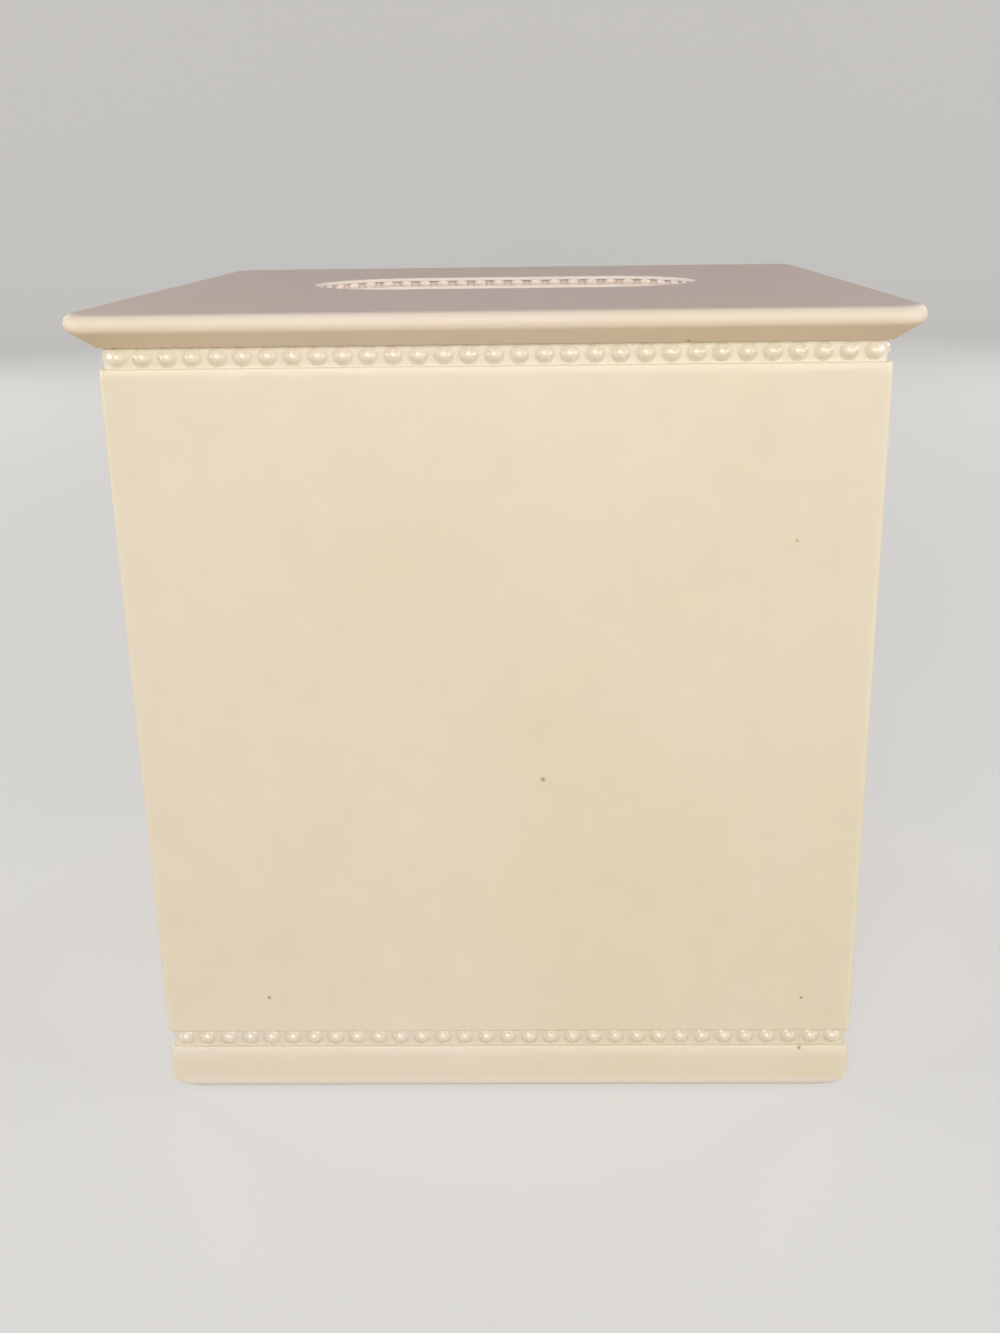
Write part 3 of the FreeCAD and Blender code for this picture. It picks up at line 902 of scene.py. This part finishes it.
    def apply(self, backing: bpy.types.Object, finish: bpy.types.Material, **places: Any) -> None:
        """Set the beads on a backing and turn both into one plain mesh.

        Args:
            backing: the object that gets the beads.
            finish: the resin.
            places: the path's places and lengths in metres, by the tree's input names.
        """
        tree = self.tree()
        values = {
            "Count": self.count, "Bead radius": self.radius * MM, "Bead rise": (self.rise + self.root) * MM,
            "Fullness": self.fullness, "Root": -self.root * MM, "Stretch": self.stretch,
            "Size spread": self.size_spread, "Seed": self.seed, "Finish": finish,
            **{name.replace("_", " "): value for name, value in places.items()},
        }
        modifier = backing.modifiers.new("Beads", "NODES")
        modifier.node_group = tree
        for item in tree.interface.items_tree:
            if item.in_out == "INPUT" and item.name in values:
                modifier[item.identifier] = values[item.name]
        shown = backing.evaluated_get(bpy.context.evaluated_depsgraph_get())
        plain = bpy.data.meshes.new_from_object(shown)
        backing.modifiers.remove(modifier)
        backing.data = plain


@dataclass(frozen=True)
class BeadStrip:
    """One mitred strip of beads in the groove above or below the sleeve's face."""

    row: Row
    side: Side
    face: float
    foot: float
    top: float
    thickness: float = 1.2
    bead_radius: float = 1.81
    bead_rise: float = 1.0
    bead_pitch: float = 4.37
    bead_count: int = 31
    recess: float = 1.2

    @classmethod
    def from_frame(cls, row: Row, side: Side) -> "BeadStrip":
        """Take a strip's level from its solid and its place from the sleeve's face.

        Args:
            row: the row that it belongs to.
            side: the side that it lies on.

        Returns:
            The strip.
        """
        low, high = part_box(strip_node(row, side))
        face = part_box("sleeve")[1].x * METRE - cls.recess
        return cls(row, side, face, low.z * METRE, high.z * METRE)

    def build(self, finish: bpy.types.Material) -> bpy.types.Object:
        """Build and dress the strip.

        Args:
            finish: the resin.

        Returns:
            The finished piece.
        """
        turn = Matrix.Rotation(math.pi / 2 * self.side.value, 3, UP)
        back = self.face - self.thickness
        plan = ((-back, -back), (-self.face, -self.face), (self.face, -self.face), (back, -back))
        corners = [turn @ Vector((x, y, level)) * MM for level in (self.foot, self.top) for x, y in plan]
        faces = [(3, 2, 1, 0), (4, 5, 6, 7), (0, 1, 5, 4), (1, 2, 6, 5), (2, 3, 7, 6), (3, 0, 4, 7)]
        name = f"{self.row.value}_beads_{self.side.name.lower()}"
        mesh = bpy.data.meshes.new(name)
        mesh.from_pydata(corners, [], faces)
        mesh.shade_flat()
        piece = link(name, mesh)
        reach = self.bead_pitch * (self.bead_count - 1) / 2
        middle = (self.foot + self.top) / 2
        ends = [turn @ Vector((x, -self.face, middle)) * MM for x in (-reach, reach)]
        seed = len(Side) * list(Row).index(self.row) + self.side.value
        trim = BeadTrim(BeadPath.LINE, self.bead_radius, self.bead_rise, self.bead_count, seed)
        trim.apply(piece, finish, Start=tuple(ends[0]), End=tuple(ends[1]))
        return piece


@dataclass(frozen=True)
class SlotRing:
    """The obround liner under the slot's lip, with a groove of beads above its own lip."""

    lid: Lid
    foot: float
    top: float
    wall: float = 2.2
    groove_height: float = 1.15
    groove_depth: float = 0.8
    lip_round: float = 0.25
    # The beads are longer than they are high. They fill the groove and stay under the lid's face.
    bead_radius: float = 1.25
    bead_rise: float = 0.85
    bead_fullness: float = 4.5
    bead_stretch: float = 1.36
    bead_count: int = 50
    seed: int = 50
    # Dust and painted shade darken the groove between the beads.
    dust_and_shade_colour: str = "#D0BAAC"
    dust_and_shade_start: float = 0.15
    dust_and_shade_full: float = 0.7
    dust_and_shade_share: float = 0.7

    @classmethod
    def from_frame(cls, lid: Lid) -> "SlotRing":
        """Take the ring's levels from its solid, and its outline from the lid's slot."""
        low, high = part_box("slot_bead_ring")
        return cls(lid, low.z * METRE, high.z * METRE)

    def dust_and_shade(self) -> SlotTint:
        """Lay dust and painted shade deeper in the groove."""
        return SlotTint(self.lid.slot_outline(0, self.top), self.dust_and_shade_colour, self.dust_and_shade_start, self.dust_and_shade_full,
                        0.0, self.dust_and_shade_share)

    def build(self, finish: bpy.types.Material) -> bpy.types.Object:
        """Build and dress the liner with its beads.

        Args:
            finish: the resin.

        Returns:
            The finished piece.
        """
        at = self.lid.slot_outline
        shelf = self.top - self.groove_height
        lip = [at(0, self.foot)]
        for step in range(ROUND_STEPS + 1):
            angle = math.pi / 2 * step / ROUND_STEPS
            margin = self.lip_round * (1 - math.cos(angle))
            lip.append(at(margin, shelf - self.lip_round * (1 - math.sin(angle))))
        piece = skin("slot_ring_beads", [
            *lip, at(self.groove_depth, shelf), at(self.groove_depth, self.top), at(self.wall, self.top),
            at(self.wall, self.foot),
        ])
        piece.data.materials.append(finish)
        wall = at(self.groove_depth, (shelf + self.top) / 2)
        trim = BeadTrim(BeadPath.OBROUND, self.bead_radius, self.bead_rise, self.bead_count, self.seed,
                        fullness=self.bead_fullness, stretch=self.bead_stretch)
        trim.apply(piece, finish, Start=(0, 0, wall.level * MM), Slot_length=2 * wall.half_x * MM,
                   Slot_width=2 * wall.half_y * MM)
        return piece


@dataclass(frozen=True)
class Lamp:
    """A soft box, by its place and size in metres and its power in watts."""

    name: str
    place: tuple[float, float, float]
    width: float
    height: float
    power: float


@dataclass(frozen=True)
class Studio:
    """A pale floor that curves up into a backdrop, and soft boxes all round: lengths in metres."""

    floor_colour: str = "#9C9B99"
    floor_glow: float = 0.56
    bounce_colour: str = "#B39B74"
    sky_colour: str = "#ECEBE9"
    ambient_colour: str = "#F4EAEE"
    ambient_strength: float = 0.07
    floor_radius: float = 1.6
    cove_radius: float = 0.5
    wall_height: float = 0.5
    cove_steps: int = 12
    floor_segments: int = 96
    aim: tuple[float, float, float] = (0.0, 0.0, 0.085)
    lamps: tuple[Lamp, ...] = (
        Lamp("high front soft box", (-0.26, -1.12, 0.58), 0.4, 0.4, 6.1),
        Lamp("low front soft box", (0.34, -1.16, 0.36), 0.7, 0.3, 4.9),
        Lamp("left soft box", (-1.1, -0.12, 0.3), 0.5, 0.3, 4.6),
        Lamp("right soft box", (1.1, -0.2, 0.3), 0.5, 0.3, 4.8),
        Lamp("back left soft box", (-0.85, 1.0, 0.5), 0.5, 0.3, 3.8),
        Lamp("back right soft box", (0.85, 1.0, 0.5), 0.5, 0.3, 3.8),
    )

    def floor(self) -> None:
        """Build the floor and its backdrop as one round dish."""
        profile = [(0.0, 0.0), (self.floor_radius, 0.0)]
        for step in range(1, self.cove_steps + 1):
            angle = math.pi / 2 * step / self.cove_steps
            profile.append((self.floor_radius + self.cove_radius * math.sin(angle),
                            self.cove_radius * (1 - math.cos(angle))))
        profile.append((profile[-1][0], profile[-1][1] + self.wall_height))
        angles = [2 * math.pi * at / self.floor_segments for at in range(self.floor_segments)]
        dish = bmesh.new()
        rings = []
        for radius, level in profile:
            rings.append([dish.verts.new((radius * math.cos(angle), radius * math.sin(angle), level))
                          for angle in angles])
        for ring, following in zip(rings, rings[1:]):
            for at in range(self.floor_segments):
                after = (at + 1) % self.floor_segments
                dish.faces.new((ring[at], following[at], following[after], ring[after]))
        bmesh.ops.remove_doubles(dish, verts=dish.verts, dist=MERGE_DISTANCE)
        mesh = bpy.data.meshes.new("floor")
        dish.to_mesh(mesh)
        dish.free()
        mesh.shade_smooth()
        mesh.materials.append(self.floor_finish())
        link("floor", mesh)

    def seen(self, tree: bpy.types.NodeTree) -> bpy.types.NodeSocket:
        """Tell rays that show the background from those that only carry light.

        Args:
            tree: the floor's or the world's tree.

        Returns:
            A socket that is 1 for camera, glossy and transmission rays.
        """
        ray = add_node(tree, "ShaderNodeLightPath").outputs
        mirrored = add_node(tree, "ShaderNodeMath", {"operation": "MAXIMUM"}, {
            0: ray["Is Glossy Ray"], 1: ray["Is Transmission Ray"],
        })
        return add_node(tree, "ShaderNodeMath", {"operation": "MAXIMUM"}, {
            0: ray["Is Camera Ray"], 1: mirrored.outputs[0],
        }).outputs[0]

    def floor_finish(self) -> bpy.types.Material:
        """Mix the floor's matte paper, pale to the eye but with little light thrown back up.

        Returns:
            The material.
        """
        material = bpy.data.materials.new("matte floor paper")
        material.use_nodes = True
        tree = material.node_tree
        tree.nodes.clear()
        seen = self.seen(tree)
        colour = add_node(tree, "ShaderNodeMix", {"data_type": "RGBA"}, {
            0: seen, 6: linear(self.bounce_colour), 7: linear(self.floor_colour),
        })
        paper = add_node(tree, "ShaderNodeBsdfDiffuse", inputs={"Color": colour.outputs[2]})
        glow = add_node(tree, "ShaderNodeMath", {"operation": "MULTIPLY"}, {0: seen, 1: self.floor_glow})
        lift = add_node(tree, "ShaderNodeEmission", inputs={
            "Color": linear(self.sky_colour), "Strength": glow.outputs[0],
        })
        both = add_node(tree, "ShaderNodeAddShader", inputs={0: paper.outputs[0], 1: lift.outputs[0]})
        add_node(tree, "ShaderNodeOutputMaterial", inputs={"Surface": both.outputs[0]})
        return material

    def sky(self) -> None:
        """Set a dim soft world that shows pale to the camera."""
        world = bpy.data.worlds.new("studio room")
        world.use_nodes = True
        tree = world.node_tree
        tree.nodes.clear()
        dim = add_node(tree, "ShaderNodeBackground", inputs={
            "Color": linear(self.ambient_colour), "Strength": self.ambient_strength,
        })
        pale = add_node(tree, "ShaderNodeBackground", inputs={
            "Color": linear(self.sky_colour), "Strength": 1.0,
        })
        both = add_node(tree, "ShaderNodeMixShader", inputs={
            0: self.seen(tree), 1: dim.outputs[0], 2: pale.outputs[0],
        })
        add_node(tree, "ShaderNodeOutputWorld", inputs={"Surface": both.outputs[0]})
        bpy.context.scene.world = world

    def light(self) -> None:
        """Hang the soft boxes, each turned to the middle of the cover."""
        for lamp in self.lamps:
            data = bpy.data.lights.new(lamp.name, "AREA")
            data.shape = "RECTANGLE"
            data.size = lamp.width
            data.size_y = lamp.height
            data.energy = lamp.power
            box = bpy.data.objects.new(lamp.name, data)
            box.location = lamp.place
            box.rotation_euler = (Vector(self.aim) - Vector(lamp.place)).to_track_quat("-Z", "Y").to_euler()
            bpy.context.scene.collection.objects.link(box)


@dataclass(frozen=True)
class PhotoCamera:
    """The camera of the photograph, fitted to the cover's edges: millimetres, degrees and pixels."""

    place: tuple[float, float, float] = (10.07, -313.34, 174.06)
    yaw: float = 1.001
    pitch: float = 18.033
    roll: float = -0.738
    focal_pixels: float = 1398.5
    # The lens looks at a point a little right of and above the frame's middle.
    aim_off_pixels: tuple[float, float] = (31.2, -17.0)
    long_side_pixels: float = 1333.0
    sensor: float = 36.0

    def stand(self) -> None:
        """Stand the camera where the photograph was taken from."""
        yaw, pitch, roll = (math.radians(angle) for angle in (self.yaw, self.pitch, self.roll))
        right = Vector((math.cos(yaw), math.sin(yaw), 0))
        level = Vector((-math.sin(yaw), math.cos(yaw), 0))
        ahead = math.cos(pitch) * level - math.sin(pitch) * UP
        above = math.sin(pitch) * level + math.cos(pitch) * UP
        columns = (math.cos(roll) * right + math.sin(roll) * above,
                   math.cos(roll) * above - math.sin(roll) * right, -ahead)
        data = bpy.data.cameras.new("photo camera")
        data.sensor_width = self.sensor
        data.lens = self.sensor * self.focal_pixels / self.long_side_pixels
        data.shift_x = -self.aim_off_pixels[0] / self.long_side_pixels
        data.shift_y = self.aim_off_pixels[1] / self.long_side_pixels
        data.clip_start = MM
        camera = bpy.data.objects.new("photo camera", data)
        turn = Matrix(columns).transposed().to_4x4()
        camera.matrix_world = Matrix.Translation(Vector(self.place) * MM) @ turn
        bpy.context.scene.collection.objects.link(camera)
        bpy.context.scene.camera = camera


def main() -> None:
    """Build the cover piece by piece, and the studio round it."""
    logging.basicConfig(level=logging.INFO, format="%(message)s")
    bpy.context.scene.view_settings.view_transform = "Standard"

    walls = CastResin("cast polyester resin, satin ivory walls", specks=WALL_SPECKS)
    base = CastResin("cast polyester resin, satin ivory plinth", specks=PLINTH_SPECKS, lightened_share=0.8)
    trim = CastResin("cast polyester resin, waxed ivory trim", mottle=FINE_MOTTLE, roughness=0.3, wax=1.0)
    beading = trim.material()
    seat(Sleeve.from_frame().build(walls.material()), "cover", "sleeve")
    seat(Plinth.from_frame().build(base.material()), "cover", "plinth")
    for row in Row:
        for side in Side:
            seat(BeadStrip.from_frame(row, side).build(beading), "cover", strip_node(row, side))

    lid = Lid.from_frame()
    ring = SlotRing.from_frame(lid)
    # The lid's top is tinted darker and mauve where it faces up (painted shade), and its slot's lip is
    # painted pale (painted light).
    cap = CastResin("cast polyester resin, satin ivory lid", ivory="#EBE1CF", cream="#E9DDC7",
                    blush="#EDE0D3", top_shade_share=0.42, roughness=0.62, specks=LID_SPECKS,
                    slot_tint=lid.rub())
    # The ring's paler colours are painted light for the slot's brightly lit far wall. Its groove carries dust
    # and painted shade.
    liner = CastResin("cast polyester resin, pale rubbed slot ring", ivory="#F5E6DA", cream="#F3E3D4",
                      blush="#F6E6DD", mottle=FINE_MOTTLE, roughness=0.34, slot_tint=ring.dust_and_shade())
    seat(lid.build(cap.material()), "lid", "lid")
    seat(ring.build(liner.material()), "lid", "slot_bead_ring")

    studio = Studio()
    studio.floor()
    studio.sky()
    studio.light()
    PhotoCamera().stand()


if __name__ == "__main__":
    main()
